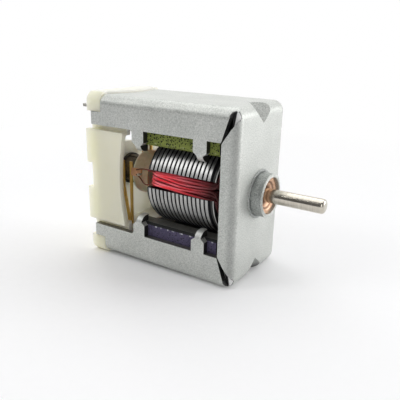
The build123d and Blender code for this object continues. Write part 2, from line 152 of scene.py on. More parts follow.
def remap(tree, value, low, high, to_low=0.0, to_high=1.0):
    """A value spread from one range to another."""
    node = add(tree, "ShaderNodeMapRange")
    ends = {"From Min": low, "From Max": high, "To Min": to_low, "To Max": to_high}
    for name, number in ends.items():
        node.inputs[name].default_value = number
    link(tree, value, node.inputs["Value"])
    return node.outputs["Result"]


def above(tree, value, edge, soft, full=1.0):
    """A mask that is full above an edge and fades out over a soft stretch below it."""
    return remap(tree, value, edge - soft, edge, 0.0, full)


def below(tree, value, edge, soft, full=1.0):
    """A mask that is full below an edge and fades out over a soft stretch above it."""
    return remap(tree, value, edge + soft, edge, 0.0, full)


def near(tree, value, centre, reach, soft, full=1.0):
    """A mask that is full within reach of a centre and fades out over a soft stretch beyond."""
    return below(tree, size_of(tree, calc(tree, "SUBTRACT", value, centre)), reach, soft, full)


def blend(tree, factor, first, second):
    """Two colours mixed by a mask. A colour is a tuple or an output."""
    node = add(tree, "ShaderNodeMix", data_type="RGBA", blend_type="MIX")
    link(tree, factor, node.inputs["Factor"])
    for socket, colour in ((node.inputs[6], first), (node.inputs[7], second)):
        if isinstance(colour, tuple):
            socket.default_value = (*colour, 1)
        else:
            link(tree, colour, socket)
    return node.outputs[2]


def mix_values(tree, factor, first, second):
    """Two values mixed by a mask."""
    node = add(tree, "ShaderNodeMix")
    for place, output in (("Factor", factor), (2, first), (3, second)):
        link(tree, output, node.inputs[place])
    return node.outputs[0]


def bump(tree, height, depth, shader):
    """Relief of this depth on a shader's normal."""
    node = add(tree, "ShaderNodeBump")
    node.inputs["Strength"].default_value = 1.0
    node.inputs["Distance"].default_value = depth
    link(tree, height, node.inputs["Height"])
    link(tree, node.outputs["Normal"], shader.inputs["Normal"])


# Effects that several finishes share
def group_tree(name, inputs, outputs):
    """An empty node group with named number inputs and outputs."""
    tree = bpy.data.node_groups.new(name, "ShaderNodeTree")
    for label, value in inputs:
        socket = tree.interface.new_socket(label, in_out="INPUT", socket_type="NodeSocketFloat")
        socket.default_value = value
    for label in outputs:
        tree.interface.new_socket(label, in_out="OUTPUT", socket_type="NodeSocketFloat")
    return tree, add(tree, "NodeGroupInput").outputs, add(tree, "NodeGroupOutput").inputs


def make_grain_group():
    """Fine grain over broad clouds: the tone of plated, sintered and moulded surfaces."""
    inputs = [("Grain Scale", 3000), ("Cloud Scale", 300), ("Cloud Share", 0.4)]
    tree, given, out = group_tree("surface_grain", inputs, ["Tone", "Grain"])
    place = object_place(tree)
    fine = noise(tree, place, given["Grain Scale"], 3.0, 0.6)
    broad = noise(tree, place, given["Cloud Scale"], 2.0)
    tone = mix_values(tree, given["Cloud Share"], fine, broad)
    link(tree, remap(tree, tone, 0.3, 0.7), out["Tone"])
    link(tree, fine, out["Grain"])
    return tree


def make_speckle_group():
    """Small pits or flecks scattered over a surface."""
    tree, given, out = group_tree("speckle", [("Scale", 3000), ("Amount", 0.4)], ["Fleck"])
    place = object_place(tree)
    spots = add(tree, "ShaderNodeTexVoronoi")
    link(tree, given["Scale"], spots.inputs["Scale"])
    link(tree, place, spots.inputs["Vector"])
    ragged = noise(tree, place, calc(tree, "MULTIPLY", given["Scale"], 1.7), 2.0)
    reach = calc(tree, "MULTIPLY", given["Amount"], ragged)
    inside = calc(tree, "SUBTRACT", reach, spots.outputs["Distance"])
    link(tree, remap(tree, inside, -0.04, 0.06), out["Fleck"])
    return tree


def make_turning_group():
    """Fine lines round the shaft axis, as a tool leaves them."""
    tree, given, out = group_tree("turning_lines", [("Pitch Scale", 9000)], ["Line"])
    place = object_place(tree, (1, 0.02, 0.02))
    lines = noise(tree, place, given["Pitch Scale"], 3.0, 0.7)
    link(tree, remap(tree, lines, 0.3, 0.7), out["Line"])
    return tree


def make_axis_group():
    """Distance from the shaft axis, in metres."""
    tree, _, out = group_tree("axis_distance", [], ["Radius"])
    parts = add(tree, "ShaderNodeSeparateXYZ")
    link(tree, object_place(tree), parts.inputs[0])
    link(tree, hypotenuse(tree, parts.outputs["Y"], parts.outputs["Z"]), out["Radius"])
    return tree


grain_group = make_grain_group()
speckle_group = make_speckle_group()
turning_group = make_turning_group()
axis_group = make_axis_group()


def place_group(tree, group, **values):
    """A shared group in a material, with its own values. Returns its outputs."""
    node = add(tree, "ShaderNodeGroup", node_tree=group)
    for label, value in values.items():
        node.inputs[socket_name(label)].default_value = value
    return node.outputs


def start_finish(name, **sockets):
    """A new material, its node tree and its shader with plain sockets set."""
    material = bpy.data.materials.new(name)
    material.use_nodes = True
    tree = material.node_tree
    shader = tree.nodes["Principled BSDF"]
    for label, value in sockets.items():
        shader.inputs[socket_name(label)].default_value = value
    return material, tree, shader


# Places on the folded frame that its finish follows
flange_inside = 6.2 * mm
return_end = -2.4 * mm
sheared_front = -0.6 * mm
sheared_height = 10.3 * mm
curl_height = 6.6 * mm
tongue_height = 6.3 * mm
collar_start = 0.06 * mm
collar_mouth = 1.7 * mm
dart_half_width = 3.4 * mm
dart_start = 9.5 * mm
notch_bottom = -12.2 * mm
notch_depth = 2.0 * mm

# The corner slits: heights, round end, and how far they run forward for their rise
slit_start = 8.7 * mm
slit_top = 11.8 * mm
slit_end_inset = 0.6 * mm
slit_end_height = 11.25 * mm
slit_end_radius = 0.62 * mm
slit_run = 0.44
slit_rise = 0.9
# The painted light on their depth's far side: its x at one height and its lean; and the painted shadow line
# round their end
slit_lit_side = -0.74 * mm
slit_lit_height = 11.4 * mm
slit_lit_lean = 0.18
rim_half_width = 0.04 * mm


def sheared_edges(tree, x, far_y, far_z, facing):
    """A mask of the plate's cut edges, on the flanges and tabs but not on the tabs' curled tips. They are
    bare steel, painted darker as shade.
    """
    curl = times(tree, above(tree, facing[2], 0.7, 0.2), below(tree, far_z, curl_height, 0.4 * mm))
    flange_edge = times(
        tree,
        below(tree, facing[1], 0.25, 0.2),
        above(tree, far_y, flange_inside, 0.1 * mm),
        below(tree, far_z, sheared_height, 0.2 * mm),
        below(tree, x, sheared_front, 0.2 * mm),
        calc(tree, "SUBTRACT", 1.0, curl),
    )
    tongue_side = times(
        tree,
        above(tree, facing[0], 0.8, 0.2),
        below(tree, far_z, tongue_height, 0.2 * mm),
        below(tree, x, return_end - 0.2 * mm, 0.2 * mm),
    )
    return calc(tree, "MAXIMUM", flange_edge, tongue_side)


def fold_shade(tree, z, far_y, far_z, facing, grain):
    """A mask of painted shade on the plate's bends and pressed darts. The lower dart is the darkest."""
    bend = times(tree, above(tree, facing[0], 0.6, 0.4), above(tree, facing[1], 0.6, 0.4))
    dart = times(
        tree,
        above(tree, facing[1], 0.2, 0.1),
        below(tree, far_y, dart_half_width, 0.2 * mm),
        above(tree, far_z, dart_start, 0.2 * mm),
    )
    pressed = times(tree, dart, remap(tree, grain, 0.36, 0.64, 0.4, 0.16))
    notch = times(tree, dart, below(tree, z, notch_bottom, notch_depth, 0.85))
    darts = calc(tree, "MAXIMUM", pressed, notch)
    return calc(tree, "MAXIMUM", calc(tree, "MULTIPLY", bend, 0.34), darts)


def paint_slits(tree, steel, x, far_y, far_z, turned_x, facing_y):
    """The corner slits' painted shadow on their wall, depth and rim, and painted light on their depth's far
    side. Returns colour and depth.
    """
    ahead = calc(tree, "ADD", x, slit_end_inset)
    higher = calc(tree, "SUBTRACT", far_z, slit_end_height)
    right_of_slit = calc(
        tree,
        "SUBTRACT",
        calc(tree, "MULTIPLY", ahead, slit_rise),
        calc(tree, "MULTIPLY", higher, slit_run),
    )
    left_wall_shadow = times(
        tree,
        above(tree, turned_x, 0.4, 0.2),
        below(tree, right_of_slit, -0.1 * mm, 0.1 * mm),
        above(tree, far_y, flange_inside - 0.2 * mm, 0.1 * mm),
        above(tree, far_z, slit_start, 0.2 * mm),
        below(tree, far_z, slit_top, 0.05 * mm),
        above(tree, x, return_end, 0.2 * mm),
    )
    # Painted shadow on the slit's left wall.
    steel = blend(tree, left_wall_shadow, steel, (0.02, 0.02, 0.02))
    depth = times(
        tree,
        above(tree, facing_y, 0.95, 0.05),
        below(tree, far_y, flange_inside, 0.1 * mm),
        above(tree, far_z, slit_start, 0.2 * mm),
        above(tree, x, return_end + 0.2 * mm, 0.2 * mm),
    )
    lean = calc(tree, "MULTIPLY", calc(tree, "SUBTRACT", far_z, slit_lit_height), slit_lit_lean)
    lit_side = above(tree, calc(tree, "SUBTRACT", x, lean), slit_lit_side, 0.08 * mm)
    # The slit's depth is painted black as shadow, with painted light on its far side, and is not metallic.
    mouth = blend(tree, lit_side, (0.012, 0.012, 0.012), (0.97, 0.97, 0.96))
    steel = blend(tree, depth, steel, mouth)
    end_distance = hypotenuse(tree, ahead, higher)
    # A painted shadow line round the slit's end and along its front lip.
    rim_shadow_line = times(
        tree,
        near(tree, end_distance, slit_end_radius, rim_half_width, 0.06 * mm),
        above(tree, far_y, flange_inside + 0.1 * mm, 0.1 * mm),
    )
    front_lip_shadow = times(
        tree,
        near(tree, far_y, flange_inside - 0.1 * mm, rim_half_width, 0.06 * mm),
        below(tree, end_distance, slit_end_radius - rim_half_width, rim_half_width),
        below(tree, facing_y, 0.9, 0.05),
    )
    rim = calc(tree, "MAXIMUM", rim_shadow_line, front_lip_shadow)
    return blend(tree, rim, steel, (0.08, 0.08, 0.08)), depth


# Finishes
def zinc_steel():
    """Zinc plate: pale and sparkling, with dark bare cut edges deepened by painted shade, painted shade in
    its folds, painted shadow and light in its slits, and a darker drawn collar.
    """
    material, tree, shader = start_finish("zinc_plate")
    grain = place_group(tree, grain_group, grain_scale=5600, cloud_scale=260, cloud_share=0.15)
    x, y, z = axes(tree, "Object")
    far_y, far_z = size_of(tree, y), size_of(tree, z)
    turned = axes(tree, "Normal")
    facing = [size_of(tree, value) for value in turned]
    plate = blend(tree, grain["Tone"], (0.39, 0.41, 0.385), (0.745, 0.755, 0.725))
    # Painted shade: the bends and darts are darkened towards near black.
    shade = fold_shade(tree, z, far_y, far_z, facing, grain["Grain"])
    plate = blend(tree, shade, plate, (0.05, 0.05, 0.05))
    sheared = sheared_edges(tree, x, far_y, far_z, facing)
    # Cut edges: bare steel painted near black as shade, and lighter where they face up, as painted light
    # from above.
    edge = blend(tree, above(tree, facing[2], 0.8, 0.2), (0.06, 0.06, 0.055), (0.2, 0.195, 0.18))
    steel = blend(tree, sheared, plate, edge)
    steel, painted_slit_floor = paint_slits(tree, steel, x, far_y, far_z, turned[0], facing[1])
    drawn = times(
        tree, above(tree, x, collar_start, 0.06 * mm), below(tree, x, collar_mouth, 0.04 * mm)
    )
    # The drawn collar is darker than the plate.
    darker_collar_tone = blend(tree, grain["Tone"], (0.16, 0.175, 0.165), (0.62, 0.635, 0.62))
    bare = calc(tree, "MAXIMUM", sheared, drawn)
    feed(
        tree,
        shader,
        base_color=blend(tree, drawn, steel, darker_collar_tone),
        metallic=times(
            tree, remap(tree, bare, 0, 1, 0.72, 0.85), calc(tree, "SUBTRACT", 1.0, painted_slit_floor)
        ),
        roughness=remap(tree, grain["Grain"], 0.3, 0.7, 0.34, 0.58),
    )
    bump(tree, grain["Grain"], 0.035 * mm, shader)
    return material


# Heights from the shaft axis of the magnets' ground lands and of their worn inner edge
land_height = 5.9 * mm
worn_height = 6.26 * mm


def ferrite(name, light, dark, worn, paint_facing, pitting):
    """A ferrite block: pitted paint on its sides, worn at the inner edge, and bare dark faces."""
    material, tree, shader = start_finish(name, specular_ior_level=0.2)
    far_z = size_of(tree, axes(tree, "Object")[2])
    facing_y, facing_z = [size_of(tree, value) for value in axes(tree, "Normal")[1:]]
    grain = place_group(tree, grain_group, grain_scale=4200, cloud_scale=700, cloud_share=0.3)
    flecks = place_group(tree, speckle_group, scale=3600, amount=pitting)
    paint = blend(tree, grain["Tone"], dark, light)
    face = blend(tree, flecks["Fleck"], paint, (0.012, 0.014, 0.01))
    painted = above(tree, facing_y, paint_facing + 0.05, 0.1)
    rough = blend(tree, grain["Tone"], (0.010, 0.011, 0.012), (0.022, 0.023, 0.022))
    ground = blend(tree, grain["Tone"], (0.06, 0.06, 0.055), (0.14, 0.14, 0.128))
    land = times(
        tree, above(tree, facing_z, 0.95, 0.05), below(tree, far_z, land_height, 0.1 * mm)
    )
    ragged = remap(tree, grain["Grain"], 0.3, 0.7, -0.05 * mm, 0.05 * mm)
    dashes = noise(tree, object_place(tree, (1, 0, 0)), 1300, 1.0)
    worn_edge = times(
        tree,
        above(tree, facing_y, 0.95, 0.05),
        below(tree, calc(tree, "ADD", far_z, ragged), worn_height, 0.08 * mm),
        above(tree, dashes, 0.6, 0.05),
    )
    colour = blend(tree, painted, blend(tree, land, rough, ground), face)
    feed(
        tree,
        shader,
        base_color=blend(tree, worn_edge, colour, worn),
        roughness=remap(tree, land, 0, 1, 0.7, 0.35),
    )
    bump(tree, flecks["Fleck"], -0.03 * mm, shader)
    return material


# Radii of the bushing's dish, with its ring of painted shade, and of the painted shade beside the shaft
dish_radius = 1.85 * mm
bore_shade_radius = 1.2 * mm


def sintered_bronze():
    """Copper-coloured sintered bronze with open pores, and painted shade round its dish and beside the
    shaft.
    """
    material, tree, shader = start_finish("sintered_bronze", metallic=0.9)
    grain = place_group(tree, grain_group, grain_scale=5200, cloud_scale=900, cloud_share=0.4)
    pores = place_group(tree, speckle_group, scale=5200, amount=0.5)
    metal = blend(tree, grain["Tone"], (0.60, 0.36, 0.225), (0.86, 0.62, 0.455))
    radius = place_group(tree, axis_group)["Radius"]
    # Painted shade: a dark ring round the dish and dark bronze beside the shaft.
    dish_ring_shade = near(tree, radius, dish_radius, 0.08 * mm, 0.1 * mm, 0.7)
    bore_shade = below(tree, radius, bore_shade_radius, 0.4 * mm, 0.9)
    metal = blend(tree, calc(tree, "MAXIMUM", dish_ring_shade, bore_shade), metal, (0.10, 0.045, 0.025))
    feed(
        tree,
        shader,
        base_color=blend(tree, pores["Fleck"], metal, (0.25, 0.12, 0.06)),
        roughness=remap(tree, grain["Tone"], 0, 1, 0.46, 0.62),
    )
    bump(tree, pores["Fleck"], -0.02 * mm, shader)
    return material


def polished_steel():
    """A ground and polished shaft, warm grey, with faint lines round it."""
    material, tree, shader = start_finish("polished_shaft", metallic=1.0)
    lines = place_group(tree, turning_group, pitch_scale=7000)
    grain = place_group(tree, grain_group, grain_scale=1500, cloud_scale=400, cloud_share=0.7)
    feed(
        tree,
        shader,
        base_color=blend(tree, lines["Line"], (0.50, 0.46, 0.39), (0.70, 0.66, 0.58)),
        roughness=remap(tree, grain["Tone"], 0, 1, 0.12, 0.22),
    )
    bump(tree, lines["Line"], 0.002 * mm, shader)
    return material


def lamination_steel():
    """Punched steel: a bright ground rim, and dark fractured sides painted near black as shade between the
    laminations.
    """
    material, tree, shader = start_finish("lamination_steel", metallic=1.0)
    radius = place_group(tree, axis_group)["Radius"]
    rim = above(tree, radius, rotor_radius - 0.008 * mm, 0.022 * mm)
    grain = place_group(tree, grain_group, grain_scale=2600, cloud_scale=500, cloud_share=0.4)
    bright = blend(tree, grain["Tone"], (0.35, 0.35, 0.35), (0.52, 0.52, 0.51))
    # The sides are painted near black: bare fracture, deepened as painted shade between the laminations.
    feed(
        tree,
        shader,
        base_color=blend(tree, rim, (0.012, 0.012, 0.014), bright),
        roughness=remap(tree, rim, 0, 1, 0.55, 0.36),
    )
    return material


# The front end plate's painted highlight on its rim: its radius, and the x in front of which it shows
rim_highlight_radius = 6.34 * mm
rim_highlight_front = -3.66 * mm


def end_fibre():
    """Black fibre of the stack's end plates, with a pale painted highlight on the rim at the front."""
    material, tree, shader = start_finish("black_fibre")
    radius = place_group(tree, axis_group)["Radius"]
    x = axes(tree, "Object")[0]
    # Painted highlight: a pale band on the front rim.
    rim = times(tree, above(tree, radius, rim_highlight_radius, 0.04 * mm), above(tree, x, rim_highlight_front, 0.04 * mm))
    grain = place_group(tree, grain_group, grain_scale=3000, cloud_scale=500, cloud_share=0.5)
    fibre = blend(tree, grain["Tone"], (0.010, 0.010, 0.010), (0.026, 0.025, 0.024))
    feed(
        tree,
        shader,
        base_color=blend(tree, rim, fibre, (0.52, 0.52, 0.50)),
        roughness=remap(tree, grain["Tone"], 0, 1, 0.4, 0.6),
    )
    bump(tree, grain["Grain"], 0.01 * mm, shader)
    return material


def dark_fibre():
    """Dark moulded resin, faintly mottled."""
    material, tree, shader = start_finish("dark_fibre", roughness=0.6)
    grain = place_group(tree, grain_group, grain_scale=3000, cloud_scale=500, cloud_share=0.5)
    feed(tree, shader, base_color=blend(tree, grain["Tone"], (0.025, 0.024, 0.02), (0.075, 0.07, 0.055)))
    bump(tree, grain["Grain"], 0.01 * mm, shader)
    return material


# Places along the shaft where the wire's varnish changes: painted shade towards the front and over the rear
# turns, and burnt enamel by the solder
front_shade_end = -4.2 * mm
front_shade_fade = 6.3 * mm
rear_shade_start = -15.0 * mm
burnt_end = -18.6 * mm
burnt_fade = 1.4 * mm


def red_enamel():
    """Enamelled copper wire: crimson varnish, with painted shade between the strands, towards the front and
    over the rear turns.
    """
    material, tree, shader = start_finish(
        "red_enamel", coat_weight=0.08, coat_roughness=0.2, specular_ior_level=0.3
    )
    grain = place_group(tree, grain_group, grain_scale=2000, cloud_scale=450, cloud_share=0.6)
    x, y, z = axes(tree, "Object")
    facing_y, facing_z = axes(tree, "Normal")[1:]
    radius = place_group(tree, axis_group)["Radius"]
    outward_y = calc(tree, "MULTIPLY", y, facing_y)
    outward_z = calc(tree, "MULTIPLY", z, facing_z)
    outward = calc(tree, "DIVIDE", calc(tree, "ADD", outward_y, outward_z), radius)
    # Painted shade between the strands: faces turned away from the outside are darkened.
    groove = below(tree, outward, 0.1, 0.55, 0.6)
    strands = remap(tree, noise(tree, object_place(tree, (0.1, 1, 1)), 2400, 2.0), 0.36, 0.64)
    fresh = blend(tree, strands, (0.94, 0.022, 0.04), (1.0, 0.21, 0.25))
    grooved = blend(tree, groove, fresh, (0.09, 0.004, 0.006))
    # Painted shade: the varnish darkens towards the front end.
    varnish = blend(tree, above(tree, x, front_shade_end, front_shade_fade), grooved, (0.06, 0.005, 0.006))
    # Painted shade: the rear turns are darkened to red-brown.
    feed(
        tree,
        shader,
        base_color=blend(tree, below(tree, x, rear_shade_start, 0.25 * mm), varnish, (0.2, 0.03, 0.026)),
        roughness=remap(tree, grain["Tone"], 0, 1, 0.5, 0.35),
    )
    return material


def lead_varnish():
    """Varnish of the leads, darkened where they were soldered."""
    material, tree, shader = start_finish("lead_varnish", specular_ior_level=0.3)
    grain = place_group(tree, grain_group, grain_scale=2000, cloud_scale=600, cloud_share=0.6)
    x = axes(tree, "Object")[0]
    varnish = blend(tree, grain["Tone"], (0.08, 0.010, 0.008), (0.2, 0.02, 0.016))
    burnt = below(tree, x, burnt_end, burnt_fade)
    feed(
        tree,
        shader,
        base_color=blend(tree, burnt, varnish, (0.12, 0.045, 0.02)),
        roughness=remap(tree, grain["Tone"], 0, 1, 0.55, 0.35),
    )
    return material


# Where the painted highlight on the drum's pale rear rim starts, and the radius of the risers' clean copper
drum_highlight_start = -20.05 * mm
clean_radius = 3.2 * mm


def amber_moulding():
    """Translucent brown moulding of the commutator's drum, with a pale painted highlight at its rear rim."""
    material, tree, shader = start_finish(
        "amber_moulding", roughness=0.32, subsurface_weight=0.8, subsurface_scale=0.002
    )
    x = axes(tree, "Object")[0]
    grain = place_group(tree, grain_group, grain_scale=1800, cloud_scale=420, cloud_share=0.6)
    body = blend(tree, grain["Tone"], (0.38, 0.275, 0.175), (0.64, 0.50, 0.345))
    # Painted highlight: the rear rim is paler.
    rim = below(tree, x, drum_highlight_start, 0.3 * mm)
    feed(tree, shader, base_color=blend(tree, rim, body, (0.80, 0.72, 0.58)))
    return material


def worn_copper():
    """Copper of the commutator, blackened by the brushes and clean on the risers."""
    material, tree, shader = start_finish("worn_copper", metallic=0.85)
    radius = place_group(tree, axis_group)["Radius"]
    clean = above(tree, radius, clean_radius, 0.6 * mm)
    grain = place_group(tree, grain_group, grain_scale=2600, cloud_scale=600, cloud_share=0.5)
    copper = blend(tree, grain["Tone"], (0.58, 0.27, 0.14), (0.86, 0.50, 0.32))
    soot = blend(tree, grain["Tone"], (0.03, 0.026, 0.022), (0.20, 0.15, 0.10))
    feed(
        tree,
        shader,
        base_color=blend(tree, clean, soot, copper),
        roughness=remap(tree, grain["Tone"], 0, 1, 0.5, 0.32),
    )
    return material


def rolled_brass(name, dark, light, metal):
    """Rolled brass or tinned strip, with lines along its length."""
    material, tree, shader = start_finish(name, metallic=metal)
    strokes = noise(tree, object_place(tree, (1, 1, 0.04)), 6000, 2.0)
    grain = place_group(tree, grain_group, grain_scale=1800, cloud_scale=300, cloud_share=0.6)
    tone = calc(tree, "MULTIPLY", remap(tree, strokes, 0.25, 0.75), grain["Tone"])
    feed(
        tree,
        shader,
        base_color=blend(tree, tone, dark, light),
        roughness=remap(tree, strokes, 0.3, 0.7, 0.25, 0.4),
    )
    return material


# The cap yellows from cap_side outwards.
# Faces that look inwards, where y times the facing in y is below inward_facing, stay pale, as painted light
# inside the cap.
cap_side = 6.2 * mm
inward_facing = -0.5 * mm
inward_fade = 1.5 * mm


def cream_nylon(name="cream_nylon", pale=(0.995, 0.965, 0.825), warm=(0.97, 0.90, 0.60)):
    """Natural nylon: waxy, translucent and ivory, yellowed on its open sides; its inward faces are kept pale
    as painted light inside the cap.
    """
    material, tree, shader = start_finish(
        name, roughness=0.42, subsurface_weight=0.75, subsurface_scale=0.0034, ior=1.45
    )
    shader.inputs["Subsurface Radius"].default_value = (1.0, 1.0, 0.95)
    y = axes(tree, "Object")[1]
    outward = calc(tree, "MULTIPLY", y, axes(tree, "Normal")[1])
    grain = place_group(tree, grain_group, grain_scale=1500, cloud_scale=160, cloud_share=0.75)
    # Yellowing on the open sides; the pale inward faces are painted light.
    open_side = times(
        tree,
        above(tree, outward, inward_facing, inward_fade),
        above(tree, size_of(tree, y), cap_side, 0.3 * mm),
    )
    mottled = remap(tree, grain["Tone"], 0, 1, 0.0, 0.25)
    yellowed = calc(tree, "ADD", mottled, calc(tree, "MULTIPLY", open_side, 0.7))
    feed(tree, shader, base_color=blend(tree, yellowed, pale, warm))
    bump(tree, grain["Grain"], 0.006 * mm, shader)
    return material


def solder_tin():
    """Solder that froze in a dull skin with bright patches."""
    material, tree, shader = start_finish("solder_tin", metallic=1.0)
    grain = place_group(tree, grain_group, grain_scale=2600, cloud_scale=1200, cloud_share=0.5)
    feed(
        tree,
        shader,
        base_color=blend(tree, grain["Tone"], (0.42, 0.33, 0.25), (0.78, 0.70, 0.60)),
        roughness=remap(tree, grain["Tone"], 0, 1, 0.45, 0.2),
    )
    return material


# The finish for each CAD slot
finishes = {
    "zinc_steel": zinc_steel(),
    "green_ferrite": ferrite(
        "green_ferrite",
        light=(0.27, 0.31, 0.075),
        dark=(0.13, 0.165, 0.035),
        worn=(0.30, 0.33, 0.15),
        paint_facing=0.4,
        pitting=0.75,
    ),
    "purple_ferrite": ferrite(
        "purple_ferrite",
        light=(0.115, 0.10, 0.175),
        dark=(0.06, 0.052, 0.095),
        worn=(0.55, 0.55, 0.60),
        paint_facing=0.9,
        pitting=0.5,
    ),
    "sintered_bronze": sintered_bronze(),
    "polished_steel": polished_steel(),
    "lamination_steel": lamination_steel(),
    "black_fibre": end_fibre(),
    "red_enamel": red_enamel(),
    "amber_moulding": amber_moulding(),
    "copper": worn_copper(),
    "dark_fibre": dark_fibre(),
    "spring_brass": rolled_brass("spring_brass", (0.70, 0.43, 0.11), (1.0, 0.73, 0.27), 0.6),
    "tinned_brass": rolled_brass("tinned_brass", (0.36, 0.345, 0.31), (0.66, 0.64, 0.59), 1.0),
    "cream_nylon": cream_nylon(),
    "white_nylon": cream_nylon("white_nylon", (0.90, 0.89, 0.84), (0.80, 0.79, 0.72)),
}
for node in nodes.values():
    node.material_slots[0].material = finishes[node.data.materials[0].name.split(".")[0]]


# Wound coils: strand, the layers from root to crown, and the radius past which strands stray
strand = 0.34 * mm
strand_gap = 0.02 * mm
coil_root = 2.8 * mm
coil_crown = 6.36 * mm
outer_layers = 5.0 * mm
slot_stations = 9
coil_seed = 5
# Straying of the outer strands along the slot and out of it
wander = 0.12 * mm
wander_turn = 6
proud = 0.15 * mm
# Turns over the front end: gap to the stack, slope, sinking, spreading, drawing in and bulging
front_first = 0.25 * mm
front_slope = 0.25
front_dip = 0.9 * mm
front_spread = 1.15
front_draw = 0.7
front_bulge = 2.2 * mm
# Turns over the rear end: gap, slope, sinking over a share of the slot, narrowing and drawing in
rear_first = 0.15 * mm
rear_slope = 0.2
rear_dip = 1.5 * mm
rear_run = 0.17
rear_narrow = 0.85
rear_draw = 0.62
# The last strands, which run slantwise over the others in the slot's mouth, towards the rear
crossing_strands = 8
crossing_reach = 0.55
crossing_least = 0.25
crossing_most = 0.95
crossing_lift = 0.12
mouth_half_width = 1.15 * mm
# A turn's first half, which leans to the slot's middle at the rear and spreads more than its second
middle_shift = 0.5 * mm
middle_fade = 5 * strand
first_half_widen = 0.21
# The halves' share of the front sinking, and its change from the slot's middle to the pole
dip_share = 0.6
dip_change = 0.35
dip_full = 6 * strand


def pole_place(pole, across, up):
    """Y and Z of a point given across and up an upright pole, turned to where the pole stands."""
    angle = rotor_clock + pole * 2 * slot_half_angle
    return (
        across * math.cos(angle) - up * math.sin(angle),
        across * math.sin(angle) + up * math.cos(angle),
    )


def beside_pole(out, aside):
    """Across and up, by an upright pole, of a point out along the slot on its right and aside towards it."""
    return (
        out * math.sin(slot_half_angle) - aside * math.cos(slot_half_angle),
        out * math.cos(slot_half_angle) + aside * math.sin(slot_half_angle),
    )


def has_room(out, aside):
    """Whether a strand fits here: clear of the pole, and under the shoe or in the slot's mouth."""
    room = strand / 2 + strand_gap
    across, up = beside_pole(out, aside)
    if across < pole_half_width + room:
        return False
    turn = math.atan2(across, up)
    if turn > shoe_half_angle + room / out:
        return True
    tip_across = shoe_tip_radius * math.sin(shoe_half_angle)
    tip_up = shoe_tip_radius * math.cos(shoe_half_angle)
    share = (across - pole_half_width) / (tip_across - pole_half_width)
    return up < shoe_underside + share * (tip_up - shoe_underside) - room


def strand_places():
    """Places of one coil's strands in half a slot, (out, aside), layer by layer from the root."""
    layer_step = strand * math.sqrt(3) / 2
    layers = int((coil_crown - coil_root) / layer_step)
    places = []
    for layer in range(layers + 1):
        out = coil_crown - (layers - layer) * layer_step
        first = 0.5 if (layers - layer) % 2 == 0 else 1.0
        column = 0
        while has_room(out, (first + column) * strand):
            places.append((out, (first + column) * strand))
            column += 1
    return places


def slot_way(draw, out, aside, outer, slant, dip, widen):
    """A strand's way through its slot, (x, across, up), from the rear to the front."""
    phase = draw.uniform(0, 2 * math.pi)
    lift = draw.uniform(-proud, proud) * outer
    way = []
    for station in range(slot_stations):
        along = station / (slot_stations - 1)
        drift = wander * math.sin(phase + wander_turn * along)
        spread = rear_narrow + (front_spread - rear_narrow) * along
        start = slant * max(0, 1 - along / crossing_reach)
        sink = dip * along**2 + rear_dip * max(0, 1 - along / rear_run) ** 2
        here = aside * (1 + (spread + widen - 1) * outer) + drift + start
        across, up = beside_pole(out + lift + crossing_lift * max(start, 0) - outer * sink, here)
        way.append((stack_rear + (stack_front - stack_rear) * along, across, up))
    return way


def coil_points(draw):
    """The whole wire of one coil round an upright pole, as (x, across, up), turn after turn."""
    places = strand_places()
    points = []
    for index, (out, aside) in enumerate(places):
        outer = min(max((out - outer_layers) / (coil_crown - outer_layers), 0), 1)
        slant = 0
        if index >= len(places) - crossing_strands:
            slant = draw.uniform(crossing_least, crossing_most) * max(mouth_half_width - aside, 0)
        middle = -middle_shift * outer * max(0, 1 - aside / middle_fade)
        change = dip_change * min(aside / dip_full, 1)
        across, up = beside_pole(out, aside)
        later_across, later_up = beside_pole(*places[min(index + 1, len(places) - 1)])
        bulge = draw.uniform(0, front_bulge) * outer
        past_pole = across - pole_half_width
        front = stack_front + front_first + front_slope * past_pole * (1 - bulge / front_bulge)
        rear = stack_rear - rear_first - rear_slope * past_pole
        one_dip = front_dip * (dip_share - change)
        other_dip = front_dip * (dip_share + change)
        points += slot_way(draw, out, aside, outer, middle, one_dip, first_half_widen)
        points.append((front, across * front_draw, up + bulge))
        points.append((front, -across * front_draw, up + bulge))
        other_side = slot_way(draw, out, aside, outer, slant, other_dip, 0)
        points += [(x, -side, high) for x, side, high in reversed(other_side)]
        points.append((rear, -across * rear_draw, up * rear_draw))
        points.append((rear, later_across * rear_draw, later_up * rear_draw))
    return points


def keep_only(piece):
    """Selects one piece and makes it the active one."""
    bpy.ops.object.select_all(action="DESELECT")
    piece.select_set(True)
    bpy.context.view_layer.objects.active = piece


def wire_piece(name, routes, thickness, material):
    """Wires along routes of points, made into one mesh."""
    curve = bpy.data.curves.new(name, "CURVE")
    curve.dimensions = "3D"
    curve.bevel_depth = thickness / 2
    curve.bevel_resolution = 1
    curve.use_fill_caps = True
    curve.resolution_u = 3
    for route in routes:
        spline = curve.splines.new("NURBS")
        spline.points.add(len(route) - 1)
        for point, place in zip(spline.points, route):
            point.co = (*place, 1)
        spline.order_u = 3
        spline.use_endpoint_u = True
    wires = bpy.data.objects.new(name, curve)
    bpy.context.scene.collection.objects.link(wires)
    keep_only(wires)
    bpy.ops.object.convert(target="MESH")
    bpy.ops.object.shade_smooth()
    wires.data.materials.append(material)
    return wires


def wind_coils():
    """The three coils, each one unbroken wire over its pole."""
    for pole in range(pole_count):
        draw = random.Random(pole + coil_seed)
        route = [(x, *pole_place(pole, across, up)) for x, across, up in coil_points(draw)]
        coil = wire_piece(f"coil_{pole + 1}", [route], strand, finishes["red_enamel"])
        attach(coil, "rotor")
        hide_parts(f"winding_{pole + 1}", f"coil_core_{pole + 1}")


